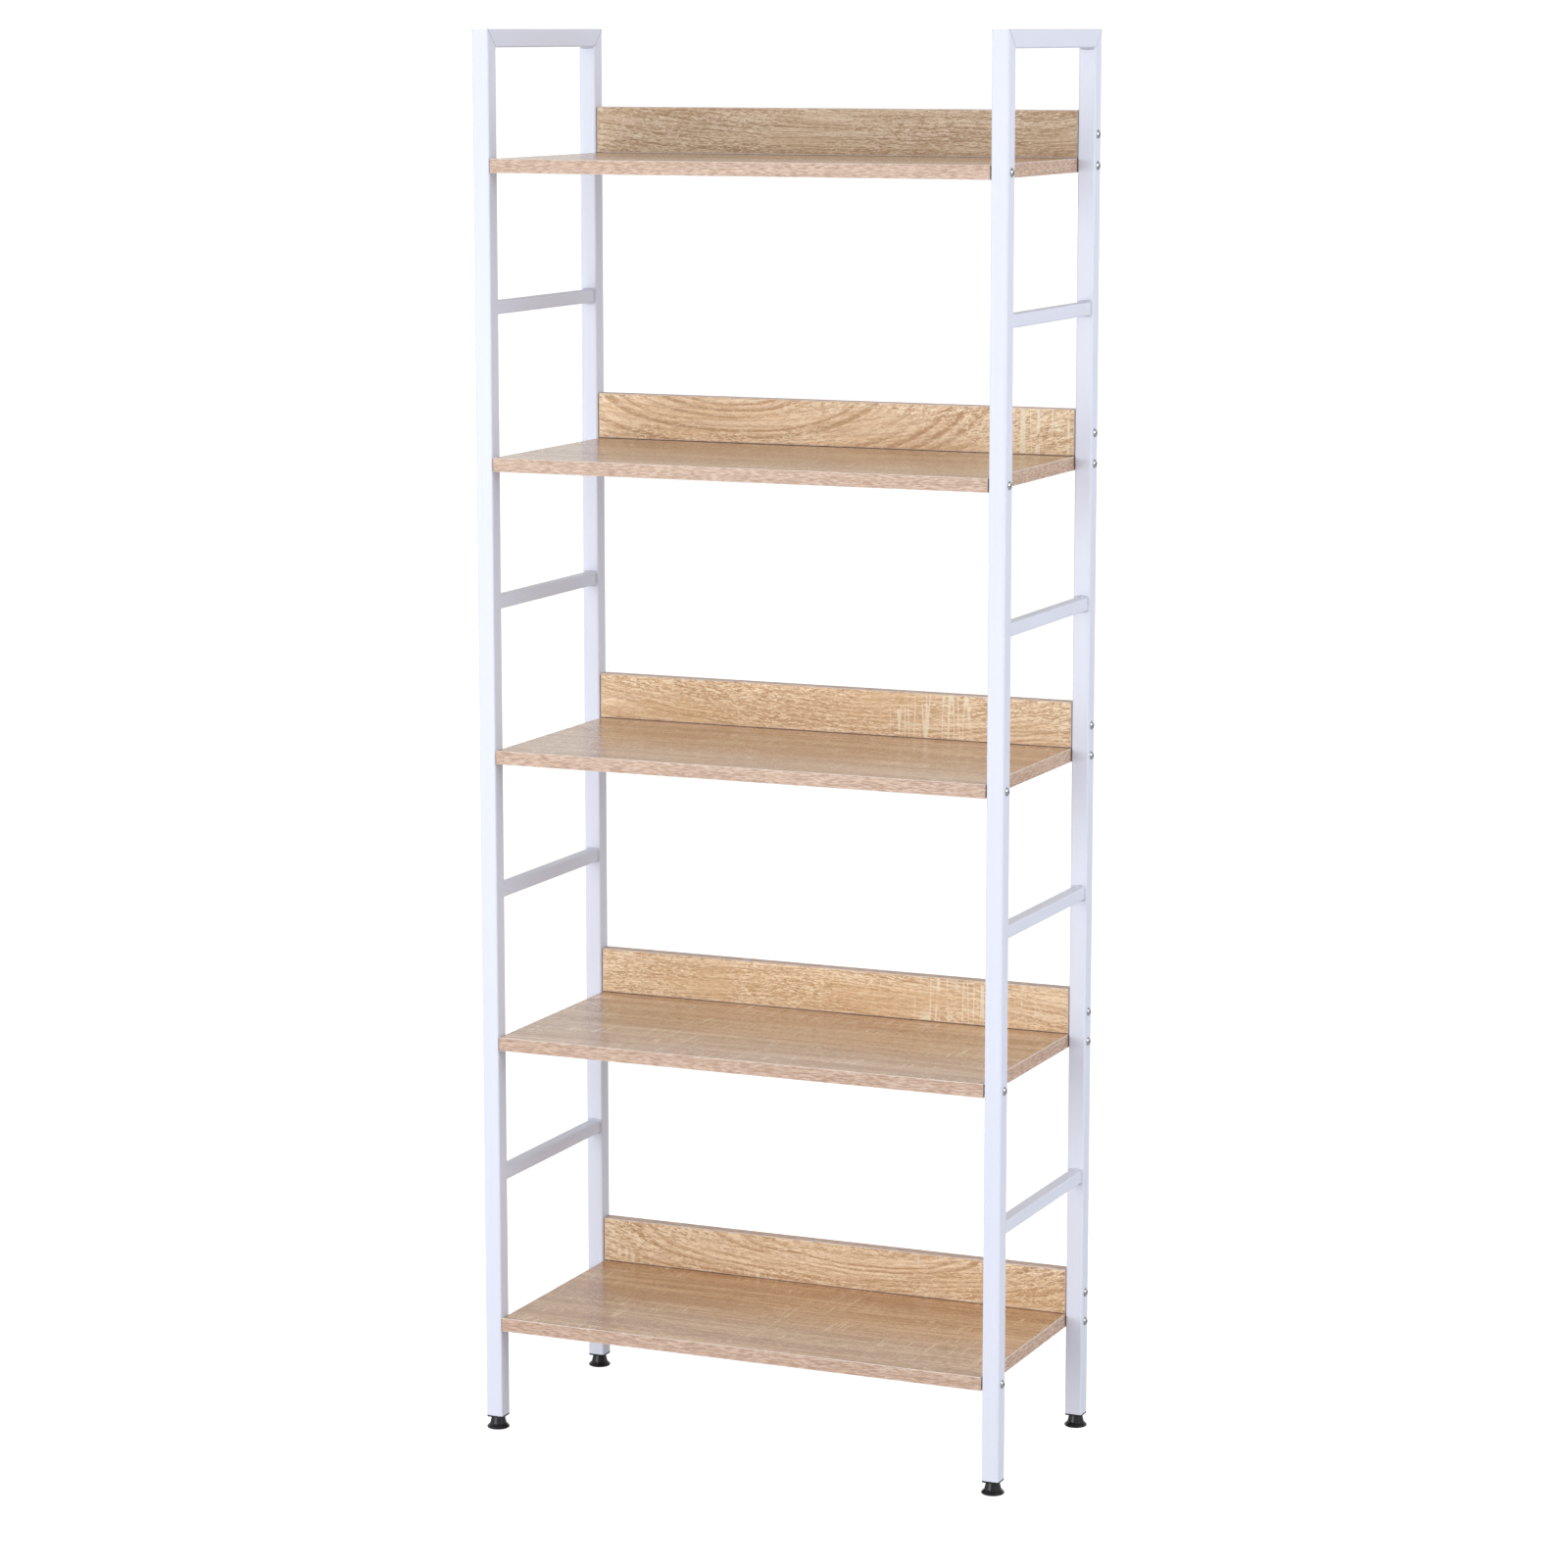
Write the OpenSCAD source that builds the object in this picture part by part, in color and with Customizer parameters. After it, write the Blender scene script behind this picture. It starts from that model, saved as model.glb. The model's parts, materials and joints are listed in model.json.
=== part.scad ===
// Free-standing five-tier ladder shelf: two welded square-tube side frames, five oak-faced
// boards bolted between them, a low back board on each, and screw-in levelling feet.
// Millimetres. The origin is on the floor, midway between the side frames and midway between
// the front and rear posts. +X is the right-hand side, +Y the rear, +Z up.

/* [Overall] */
// Width over the outer faces of the two side frames
frame_w = 600; // [460:5:800]
// Depth over the outer faces of the front and rear posts
frame_d = 276; // [220:2:360]
// Height of the top rail's upper face above the floor
frame_top = 1517; // [1480:1:1650]

/* [Side frames] */
// Outer width of the square tube of posts and top rails
post_w = 19; // [19:0.5:22]
// Wall of the post tube
post_wall = 1.2; // [1:0.1:1.3]
// Outer corner radius of the post tube
post_r = 2; // [1.4:0.1:2.4]
// Outer width of the square tube of the rungs
rung_w = 14; // [12:0.5:15]
// Wall of the rung tube
rung_wall = 1.2; // [0.8:0.1:1.3]
// Outer corner radius of the rung tube
rung_r = 1.6; // [1.4:0.1:2]

/* [Boards] */
// Height of the lowest shelf's top face above the floor
low_shelf_top = 127; // [100:1:150]
// Distance from one shelf's top face to the next one's
shelf_pitch = 314; // [280:1:320]
// Thickness of the boards, edge to edge of the faced chipboard
board_t = 15; // [14:0.5:18]
// Height of the low back board that stands on each shelf
back_h = 49.5; // [40:0.5:80]
// Air gap under each back board
back_gap = 0.5; // [0.2:0.1:1]
// Gap between a board's end and the post, filled by the insert's collar
end_gap = 1; // [0.5:0.1:2]
// Thickness of the edge bands
band_t = 1; // [0.8:0.1:2]
// Rounding of the edge bands' outer corners
band_r = 0.8; // [0.3:0.1:0.8]

/* [Bolts] */
// Thread diameter of the bolts
bolt_d = 5; // [4:0.5:5]
// Length of the bolts under the head
bolt_len = 30; // [26:1:32]
// Diameter of the domed button head
head_d = 9.5; // [8:0.1:10]
// Height of the domed button head
head_h = 2.75; // [2.2:0.05:3]
// Width across the flats of the hexagon socket
socket_af = 3; // [2.5:0.1:3.5]

/* [Levelling feet] */
// Height of a foot and its plug's flange, with the foot screwed fully in
foot_h = 15; // [14:0.5:18]
// Diameter of the foot's skirt, whose rim is fully rounded
foot_d = 25.2; // [22:0.2:28]
// Thickness of the skirt's rim
rim_t = 2.4; // [2:0.1:3]
// Diameter where the skirt meets the conical body
waist_d = 17.6; // [16:0.1:19]
// Height where the skirt meets the conical body
waist_h = 5.2; // [4.6:0.1:6]
// Diameter of the conical body at its top
neck_d = 14.2; // [12.6:0.1:15]
// Diameter of the threaded stem
stem_d = 8; // [8:0.1:8.2]
// Height of the stem's upper end above the floor
stem_top = 47; // [44:1:52]

/* [Hidden] */
$fn = 48;

// Sides and ends of the shelf
LEFT = -1;
RIGHT = 1;
FRONT = -1;
REAR = 1;

// Number of shelves, counted upwards from 1 at the bottom
tiers = 5;

// Post centre lines, half the boards' length, and the boards' common length
post_x = frame_w / 2 - post_w / 2;
post_y = frame_d / 2 - post_w / 2;
board_half = frame_w / 2 - post_w - end_gap;
board_len = 2 * board_half;

// Heights that repeat from shelf to shelf
function shelf_top(k) = low_shelf_top + (k - 1) * shelf_pitch;
function shelf_mid(k) = shelf_top(k) - board_t / 2;
function back_mid(k) = shelf_top(k) + back_gap + back_h / 2;
function rung_mid(k) = shelf_top(k) + shelf_pitch / 2;

// Clearances: bolt in post, bolt in insert, insert in board, plug in tube, stem in nut
bolt_hole_d = bolt_d + 0.5;
thread_gap = 0.05;
insert_gap = 0.05;
plug_gap = 0.1;
stem_gap = 0.05;

// Hairline joint between an end strip and the long strips of the edge banding
strip_gap = 0.05;

// Threaded inserts in the ends of the boards
insert_d = 8;
insert_len = 13;
collar_d = 11;
insert_hole_len = insert_len + 1;

// Hexagon socket of the bolts
socket_depth = 1.7;
head_rim = 0.35;

// End plug in the foot of each post, and the nut that it holds
flange_t = 2;
plug_depth = 18;
plug_w = post_w - 2 * post_wall - 2 * plug_gap;
plug_bore_d = stem_d + 0.8;
nut_af = 13;
nut_h = 6.5;
nut_gap = 0.05;

// Foot: the captive head of the stem turns in a pocket of the moulded base
seat_gap = 0.1;
stem_head_d = 11;
stem_head_h = 2.8;
stem_head_z = 2.6;
stem_chamfer = 0.8;
base_top = foot_h - flange_t - seat_gap;

frame_colour = "#e8eaf1";
board_colour = "#b8966a";
band_colour = "#c3a088";
steel_colour = "#b9bcc2";
plastic_colour = "#17171a";

// --- Placing ---------------------------------------------------------------------------------

// Moves what is drawn for the right rear corner to any of the four corners
module to_corner(side, end) {
    mirror([side < 0 ? 1 : 0, 0, 0])
        mirror([0, end < 0 ? 1 : 0, 0])
            children();
}

// Moves what is drawn on the right rear post's foot to the lower end of one of the posts
module at_post_foot(side, end) {
    to_corner(side, end) translate([post_x, post_y, foot_h]) children();
}

// --- Square tube -----------------------------------------------------------------------------

module rounded_square(w, r) {
    square([w, w - 2 * r], center = true);
    square([w - 2 * r, w], center = true);
    for (x = [-1, 1], y = [-1, 1])
        translate([x * (w / 2 - r), y * (w / 2 - r)]) circle(r);
}

module tube_profile(w, wall, r) {
    difference() {
        rounded_square(w, r);
        rounded_square(w - 2 * wall, r - wall);
    }
}

// Half space on one side of the 45 degree joint between the right rear post and its top rail:
// above = 1 is what the post loses, above = -1 is what the rail loses
module mitre_block(above) {
    translate([post_x, frame_d / 2, frame_top])
        rotate([45, 0, 0])
            translate([-post_w, -2 * post_w, above > 0 ? 0 : -2 * post_w])
                cube([2 * post_w, 2.5 * post_w, 2 * post_w]);
}

module bolt_hole(z) {
    translate([post_x, post_y, z])
        rotate([0, 90, 0])
            cylinder(d = bolt_hole_d, h = 2 * post_w, center = true);
}

module post(side, end) {
    color(frame_colour)
    to_corner(side, end)
    difference() {
        translate([post_x, post_y, foot_h])
            linear_extrude(frame_top - foot_h)
                tube_profile(post_w, post_wall, post_r);
        mitre_block(1);
        for (k = [1:tiers])
            bolt_hole(shelf_mid(k));
        if (end == REAR)
            for (k = [1:tiers])
                bolt_hole(back_mid(k));
    }
}

module top_rail(side) {
    color(frame_colour)
    to_corner(side, REAR)
    difference() {
        translate([post_x, 0, frame_top - post_w / 2])
            rotate([90, 0, 0])
                linear_extrude(frame_d, center = true)
                    tube_profile(post_w, post_wall, post_r);
        mitre_block(-1);
        mirror([0, 1, 0]) mitre_block(-1);
    }
}

// Rung number k sits halfway between shelf k and shelf k + 1
module rung(side, k) {
    color(frame_colour)
    to_corner(side, REAR)
    translate([post_x, 0, rung_mid(k)])
        rotate([90, 0, 0])
            linear_extrude(frame_d - 2 * post_w, center = true)
                tube_profile(rung_w, rung_wall, rung_r);
}

// --- Boards ----------------------------------------------------------------------------------

// Edge band along X, its outer face at y = 0 looking towards -Y
module band(len, h) {
    rotate([90, 0, 90])
        linear_extrude(len, center = true)
            intersection() {
                union() {
                    translate([0, -h / 2 + band_r]) square([band_t, h - 2 * band_r]);
                    translate([band_r, -h / 2]) square([band_t, h]);
                    for (z = [-1, 1])
                        translate([band_r, z * (h / 2 - band_r)]) circle(band_r);
                }
                translate([0, -h / 2]) square([band_t, h]);
            }
}

// Blind hole for an insert in the right-hand end of a board
module insert_hole(y, z) {
    translate([board_half - insert_hole_len, y, z])
        rotate([0, 90, 0])
            cylinder(d = insert_d + 2 * insert_gap, h = insert_hole_len + end_gap);
}

module shelf_insert_holes(k) {
    for (side = [LEFT, RIGHT], end = [FRONT, REAR])
        to_corner(side, REAR) insert_hole(end * post_y, shelf_mid(k));
}

module back_insert_holes(k) {
    for (side = [LEFT, RIGHT])
        to_corner(side, REAR) insert_hole(post_y, back_mid(k));
}

module shelf_board(k) {
    color(board_colour)
    difference() {
        translate([0, 0, shelf_mid(k)])
            cube([board_len - 2 * band_t, frame_d - 2 * band_t, board_t], center = true);
        shelf_insert_holes(k);
    }
}

module shelf_edge_bands(k) {
    color(band_colour)
    difference() {
        for (end = [FRONT, REAR])
            mirror([0, end == REAR ? 1 : 0, 0])
                translate([0, -frame_d / 2, shelf_mid(k)]) band(board_len, board_t);
        shelf_insert_holes(k);
    }
    color(band_colour)
    difference() {
        for (side = [LEFT, RIGHT])
            to_corner(side, REAR)
                translate([board_half, 0, shelf_mid(k)])
                    rotate([0, 0, 90]) band(frame_d - 2 * band_t - 2 * strip_gap, board_t);
        shelf_insert_holes(k);
    }
}

module back_board(k) {
    color(board_colour)
    difference() {
        translate([0, post_y, back_mid(k)])
            cube([board_len - 2 * band_t, board_t, back_h - 2 * band_t], center = true);
        back_insert_holes(k);
    }
}

module back_edge_bands(k) {
    color(band_colour)
    for (up = [-1, 1])
        translate([0, post_y, back_mid(k) + up * back_h / 2])
            rotate([-90 * up, 0, 0]) band(board_len, board_t);
    color(band_colour)
    difference() {
        for (side = [LEFT, RIGHT])
            to_corner(side, REAR)
                translate([board_half, post_y, back_mid(k)])
                    rotate([0, -90, 90]) band(back_h - 2 * band_t - 2 * strip_gap, board_t);
        back_insert_holes(k);
    }
}

// --- Bolts and inserts -----------------------------------------------------------------------

// Button-head bolt along Z, the underside of its head at z = 0
module bolt() {
    dome_h = head_h - head_rim;
    dome_r = (pow(head_d / 2, 2) + pow(dome_h, 2)) / (2 * dome_h);
    difference() {
        union() {
            cylinder(d = head_d, h = head_rim);
            intersection() {
                translate([0, 0, head_h - dome_r]) sphere(dome_r);
                cylinder(d = head_d, h = head_h);
            }
        }
        translate([0, 0, head_h - socket_depth])
            cylinder(d = socket_af / cos(30), h = 2 * socket_depth, $fn = 6);
    }
    translate([0, 0, -bolt_len]) cylinder(d = bolt_d, h = bolt_len);
}

// Bolt through the right-hand post at depth y and height z
module bolt_at(y, z) {
    translate([frame_w / 2, y, z]) rotate([0, 90, 0]) bolt();
}

// Threaded insert in the right-hand end of a board, its collar filling the gap to the post
module insert_at(y, z) {
    translate([board_half, y, z])
        rotate([0, 90, 0])
            difference() {
                union() {
                    translate([0, 0, -insert_len]) cylinder(d = insert_d, h = insert_len);
                    cylinder(d = collar_d, h = end_gap);
                }
                translate([0, 0, -insert_len - 1])
                    cylinder(d = bolt_d + 2 * thread_gap, h = insert_len + end_gap + 2);
            }
}

module shelf_bolts(side) {
    color(steel_colour)
    to_corner(side, REAR)
        for (k = [1:tiers], end = [FRONT, REAR])
            bolt_at(end * post_y, shelf_mid(k));
}

module back_board_bolts(side) {
    color(steel_colour)
    to_corner(side, REAR)
        for (k = [1:tiers])
            bolt_at(post_y, back_mid(k));
}

module shelf_inserts(side) {
    color(steel_colour)
    to_corner(side, REAR)
        for (k = [1:tiers], end = [FRONT, REAR])
            insert_at(end * post_y, shelf_mid(k));
}

module back_board_inserts(side) {
    color(steel_colour)
    to_corner(side, REAR)
        for (k = [1:tiers])
            insert_at(post_y, back_mid(k));
}

// --- Levelling feet --------------------------------------------------------------------------

// Moulded plug in the lower end of a post: its flange covers the tube's cut end
module end_plug(side, end) {
    color(plastic_colour)
    at_post_foot(side, end)
    difference() {
        union() {
            translate([0, 0, -flange_t]) linear_extrude(flange_t) rounded_square(post_w, post_r);
            linear_extrude(plug_depth) rounded_square(plug_w, post_r - post_wall);
        }
        translate([0, 0, -2 * flange_t])
            cylinder(d = plug_bore_d, h = plug_depth + 4 * flange_t);
        translate([0, 0, plug_depth - nut_h])
            cylinder(d = (nut_af + 2 * nut_gap) / cos(30), h = 2 * nut_h, $fn = 6);
    }
}

// Hexagon nut held in the top of the plug
module plug_nut(side, end) {
    color(steel_colour)
    at_post_foot(side, end)
    translate([0, 0, plug_depth - nut_h])
        difference() {
            cylinder(d = nut_af / cos(30), h = nut_h, $fn = 6);
            translate([0, 0, -1]) cylinder(d = stem_d + 2 * stem_gap, h = nut_h + 2);
        }
}

// Half section of the foot: a skirt with a round rim under a slightly conical body
module foot_section() {
    rim_r = rim_t / 2;
    rim_x = foot_d / 2 - rim_r;
    polygon([
        [0, 0], [rim_x, 0], [rim_x, rim_t],
        [waist_d / 2, waist_h], [neck_d / 2, base_top], [0, base_top]
    ]);
    translate([rim_x, rim_r]) circle(rim_r);
}

module foot_base(side, end) {
    color(plastic_colour)
    at_post_foot(side, end)
    translate([0, 0, -foot_h])
        difference() {
            rotate_extrude() foot_section();
            translate([0, 0, stem_head_z - seat_gap])
                cylinder(d = stem_head_d + 2 * seat_gap, h = stem_head_h + 2 * seat_gap);
            translate([0, 0, stem_head_z]) cylinder(d = stem_d + 2 * stem_gap, h = foot_h);
        }
}

// Threaded stem: its captive head turns in the base, its thread runs in the plug's nut
module foot_stem(side, end) {
    color(steel_colour)
    at_post_foot(side, end)
    translate([0, 0, -foot_h]) {
        translate([0, 0, stem_head_z]) cylinder(d = stem_head_d, h = stem_head_h);
        translate([0, 0, stem_head_z])
            cylinder(d = stem_d, h = stem_top - stem_head_z - stem_chamfer);
        translate([0, 0, stem_top - stem_chamfer])
            cylinder(d1 = stem_d, d2 = stem_d - 2 * stem_chamfer, h = stem_chamfer);
    }
}

// --- Nodes -----------------------------------------------------------------------------------

post(LEFT, FRONT);  // left_front_post
post(LEFT, REAR);  // left_rear_post
top_rail(LEFT);  // left_top_rail
rung(LEFT, 1);  // left_rung_1
rung(LEFT, 2);  // left_rung_2
rung(LEFT, 3);  // left_rung_3
rung(LEFT, 4);  // left_rung_4
post(RIGHT, FRONT);  // right_front_post
post(RIGHT, REAR);  // right_rear_post
top_rail(RIGHT);  // right_top_rail
rung(RIGHT, 1);  // right_rung_1
rung(RIGHT, 2);  // right_rung_2
rung(RIGHT, 3);  // right_rung_3
rung(RIGHT, 4);  // right_rung_4
shelf_board(1);  // shelf_board_1
shelf_board(2);  // shelf_board_2
shelf_board(3);  // shelf_board_3
shelf_board(4);  // shelf_board_4
shelf_board(5);  // shelf_board_5
shelf_edge_bands(1);  // shelf_edge_bands_1
shelf_edge_bands(2);  // shelf_edge_bands_2
shelf_edge_bands(3);  // shelf_edge_bands_3
shelf_edge_bands(4);  // shelf_edge_bands_4
shelf_edge_bands(5);  // shelf_edge_bands_5
back_board(1);  // back_board_1
back_board(2);  // back_board_2
back_board(3);  // back_board_3
back_board(4);  // back_board_4
back_board(5);  // back_board_5
back_edge_bands(1);  // back_edge_bands_1
back_edge_bands(2);  // back_edge_bands_2
back_edge_bands(3);  // back_edge_bands_3
back_edge_bands(4);  // back_edge_bands_4
back_edge_bands(5);  // back_edge_bands_5
shelf_bolts(LEFT);  // left_shelf_bolts
shelf_bolts(RIGHT);  // right_shelf_bolts
back_board_bolts(LEFT);  // left_back_board_bolts
back_board_bolts(RIGHT);  // right_back_board_bolts
shelf_inserts(LEFT);  // left_shelf_inserts
shelf_inserts(RIGHT);  // right_shelf_inserts
back_board_inserts(LEFT);  // left_back_board_inserts
back_board_inserts(RIGHT);  // right_back_board_inserts
end_plug(LEFT, FRONT);  // left_front_end_plug
end_plug(LEFT, REAR);  // left_rear_end_plug
end_plug(RIGHT, FRONT);  // right_front_end_plug
end_plug(RIGHT, REAR);  // right_rear_end_plug
plug_nut(LEFT, FRONT);  // left_front_plug_nut
plug_nut(LEFT, REAR);  // left_rear_plug_nut
plug_nut(RIGHT, FRONT);  // right_front_plug_nut
plug_nut(RIGHT, REAR);  // right_rear_plug_nut
foot_base(LEFT, FRONT);  // left_front_foot_base
foot_base(LEFT, REAR);  // left_rear_foot_base
foot_base(RIGHT, FRONT);  // right_front_foot_base
foot_base(RIGHT, REAR);  // right_rear_foot_base
foot_stem(LEFT, FRONT);  // left_front_foot_stem
foot_stem(LEFT, REAR);  // left_rear_foot_stem
foot_stem(RIGHT, FRONT);  // right_front_foot_stem
foot_stem(RIGHT, REAR);  // right_rear_foot_stem
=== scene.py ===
import json
import math
import random
from collections import namedtuple

import bpy
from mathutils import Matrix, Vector


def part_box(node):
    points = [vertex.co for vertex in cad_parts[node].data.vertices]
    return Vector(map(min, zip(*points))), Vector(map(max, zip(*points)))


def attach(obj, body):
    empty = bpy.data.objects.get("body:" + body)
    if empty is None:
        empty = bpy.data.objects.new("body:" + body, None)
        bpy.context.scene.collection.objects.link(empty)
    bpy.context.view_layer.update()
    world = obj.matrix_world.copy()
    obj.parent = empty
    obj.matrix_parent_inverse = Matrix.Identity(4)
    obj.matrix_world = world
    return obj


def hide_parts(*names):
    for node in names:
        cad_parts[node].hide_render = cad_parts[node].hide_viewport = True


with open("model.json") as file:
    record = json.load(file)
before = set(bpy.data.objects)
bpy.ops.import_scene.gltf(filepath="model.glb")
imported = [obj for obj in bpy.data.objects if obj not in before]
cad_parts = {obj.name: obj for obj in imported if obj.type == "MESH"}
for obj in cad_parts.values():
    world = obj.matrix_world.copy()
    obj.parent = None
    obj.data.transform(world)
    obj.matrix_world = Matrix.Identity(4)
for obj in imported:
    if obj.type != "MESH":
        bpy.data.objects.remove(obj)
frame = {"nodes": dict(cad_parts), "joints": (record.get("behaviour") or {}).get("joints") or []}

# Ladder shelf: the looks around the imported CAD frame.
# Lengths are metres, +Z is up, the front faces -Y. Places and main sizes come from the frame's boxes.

MM = 0.001
TIERS = range(1, 6)
SIDES = {"left": -1, "right": 1}
ENDS = {"front": -1, "rear": 1}
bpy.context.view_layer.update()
rng = random.Random(11)

# --- Measures read from the frame ----------------------------------------------------------------

POST_LO, POST_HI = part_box("right_rear_post")
POST_W = POST_HI.x - POST_LO.x
POST_X = (POST_LO.x + POST_HI.x) / 2
POST_Y = (POST_LO.y + POST_HI.y) / 2
POST_R = 2.0 * MM
FRAME_TOP = POST_HI.z
POST_FOOT = POST_LO.z

RUNG_LO, RUNG_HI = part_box("right_rung_1")
RUNG_W = RUNG_HI.z - RUNG_LO.z
RUNG_R = 1.6 * MM

BOARD_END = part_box("shelf_board_1")[1].x

# how far down the feet can be screwed
FOOT_TRAVEL = max(joint["range_m"][1] for joint in frame["joints"] if joint["type"] == "slide")


def mid_height(node):
    low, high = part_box(node)
    return (low.z + high.z) / 2


# --- Mesh helpers --------------------------------------------------------------------------------


def make_object(name, vertices, faces, material, sharp_angle=38.0):
    """A smooth-shaded mesh object whose edges are sharp from sharp_angle on."""
    mesh = bpy.data.meshes.new(name)
    mesh.from_pydata([tuple(v) for v in vertices], [], faces)
    mesh.validate()
    mesh.polygons.foreach_set("use_smooth", [True] * len(mesh.polygons))
    mesh.set_sharp_from_angle(angle=math.radians(sharp_angle))
    mesh.materials.append(material)
    obj = bpy.data.objects.new(name, mesh)
    bpy.context.scene.collection.objects.link(obj)
    return obj


class Shell:
    """Vertices and faces of one or more closed surfaces, gathered before they become a mesh."""

    def __init__(self):
        self.vertices = []
        self.faces = []

    def add(self, other, place):
        """Adds another shell's surfaces, each vertex moved by the function place."""
        base = len(self.vertices)
        self.vertices += [place(v) for v in other.vertices]
        self.faces += [[base + i for i in face] for face in other.faces]

    def ring(self, points):
        """Adds a row of vertices and returns their indices."""
        base = len(self.vertices)
        self.vertices += points
        return list(range(base, base + len(points)))

    def bridge(self, lower, upper):
        """Quads between two closed rows of equal length. Seen from outside, lower runs to the right."""
        count = len(lower)
        for i in range(count):
            j = (i + 1) % count
            self.faces.append([lower[i], lower[j], upper[j], upper[i]])

    def fan(self, row, tip, outwards=True):
        """Triangles from a closed row to one vertex."""
        count = len(row)
        for i in range(count):
            a, b = row[i], row[(i + 1) % count]
            self.faces.append([a, b, tip] if outwards else [b, a, tip])


FILLET_STEPS = 5           # chords in each fillet


def filleted(corners):
    """An open outline through corners (x, z, fillet radius), each fillet an arc of short chords."""
    outline = []
    for i, (x, z, radius) in enumerate(corners):
        if radius == 0 or i in (0, len(corners) - 1):
            outline.append((x, z))
            continue
        here = Vector((x, z))
        back = (Vector(corners[i - 1][:2]) - here).normalized()
        ahead = (Vector(corners[i + 1][:2]) - here).normalized()
        half_angle = back.angle(ahead) / 2
        bisector = (back + ahead).normalized()
        centre = here + bisector * (radius / math.sin(half_angle))
        start = here + back * (radius / math.tan(half_angle)) - centre
        end = here + ahead * (radius / math.tan(half_angle)) - centre
        turn = start.angle(end)
        for step in range(FILLET_STEPS + 1):
            share = step / FILLET_STEPS
            spoke = start * math.sin((1 - share) * turn) + end * math.sin(share * turn)
            spoke /= math.sin(turn)
            outline.append(tuple(centre + spoke))
    return outline


def lathe(outline, segments):
    """A solid of revolution about Z from an outline that runs from the axis, up outside, to the axis."""
    shell = Shell()
    bottom = shell.ring([Vector((0, 0, outline[0][1]))])[0]
    rows = []
    for radius, z in outline[1:-1]:
        angles = [2 * math.pi * i / segments for i in range(segments)]
        rows.append(shell.ring([Vector((radius * math.cos(a), radius * math.sin(a), z)) for a in angles]))
    top = shell.ring([Vector((0, 0, outline[-1][1]))])[0]
    shell.fan(rows[0], bottom, outwards=False)
    for lower, upper in zip(rows, rows[1:]):
        shell.bridge(lower, upper)
    shell.fan(rows[-1], top)
    return shell


def rounded_square(half, radius, z, arc_steps=6, flat_steps=6):
    """Points round a square with round corners, counter-clockwise from above."""
    points = []
    inner = half - radius
    for corner in range(4):
        turn = math.pi / 2 * corner
        cx = inner * (1 if corner in (0, 3) else -1)
        cy = inner * (1 if corner in (0, 1) else -1)
        for step in range(arc_steps + 1):
            a = turn + math.pi / 2 * step / arc_steps
            points.append(Vector((cx + radius * math.cos(a), cy + radius * math.sin(a), z)))
        nxt = turn + math.pi / 2
        along = Vector((-math.sin(nxt), math.cos(nxt), 0))
        # the flat after this corner runs at right angles to its outward direction
        start = points[-1].copy()
        for step in range(1, flat_steps):
            points.append(start + along * (2 * inner * step / flat_steps))
    return points


def thread(major, depth, pitch, z_low, z_high, columns):
    """A right-hand screw thread about Z whose rows follow the helix, its two ends closed."""
    levels = (0.0, 0.0, 0.5, 1.0, 1.0, 0.5)
    per_turn = len(levels)
    turns = int((z_high - z_low) / pitch) - 1
    rows = per_turn * turns
    shell = Shell()
    grid = []
    for row in range(rows + 1):
        radius = major - depth * (1 - levels[row % per_turn])
        points = []
        for column in range(columns):
            a = 2 * math.pi * column / columns
            z = z_low + pitch * (row / per_turn + column / columns)
            points.append(Vector((radius * math.cos(a), radius * math.sin(a), z)))
        grid.append(shell.ring(points))
    for row in range(rows):
        for column in range(columns - 1):
            shell.faces.append([grid[row][column], grid[row][column + 1],
                                grid[row + 1][column + 1], grid[row + 1][column]])
        if row + per_turn + 1 <= rows:
            shell.faces.append([grid[row][-1], grid[row + per_turn][0],
                                grid[row + per_turn + 1][0], grid[row + 1][-1]])
    close_thread_end(shell, grid[0] + [row[0] for row in reversed(grid[1:per_turn + 1])])
    close_thread_end(shell, grid[-1][::-1] + [row[-1] for row in grid[rows - per_turn:rows]])
    return shell


def close_thread_end(shell, boundary):
    """Triangles from a thread's open edge to a point on its axis."""
    middle = sum((shell.vertices[i] for i in boundary), Vector()) / len(boundary)
    tip = shell.ring([Vector((0, 0, middle.z))])[0]
    shell.fan(boundary, tip, outwards=False)


# --- Shader helpers ------------------------------------------------------------------------------


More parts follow.
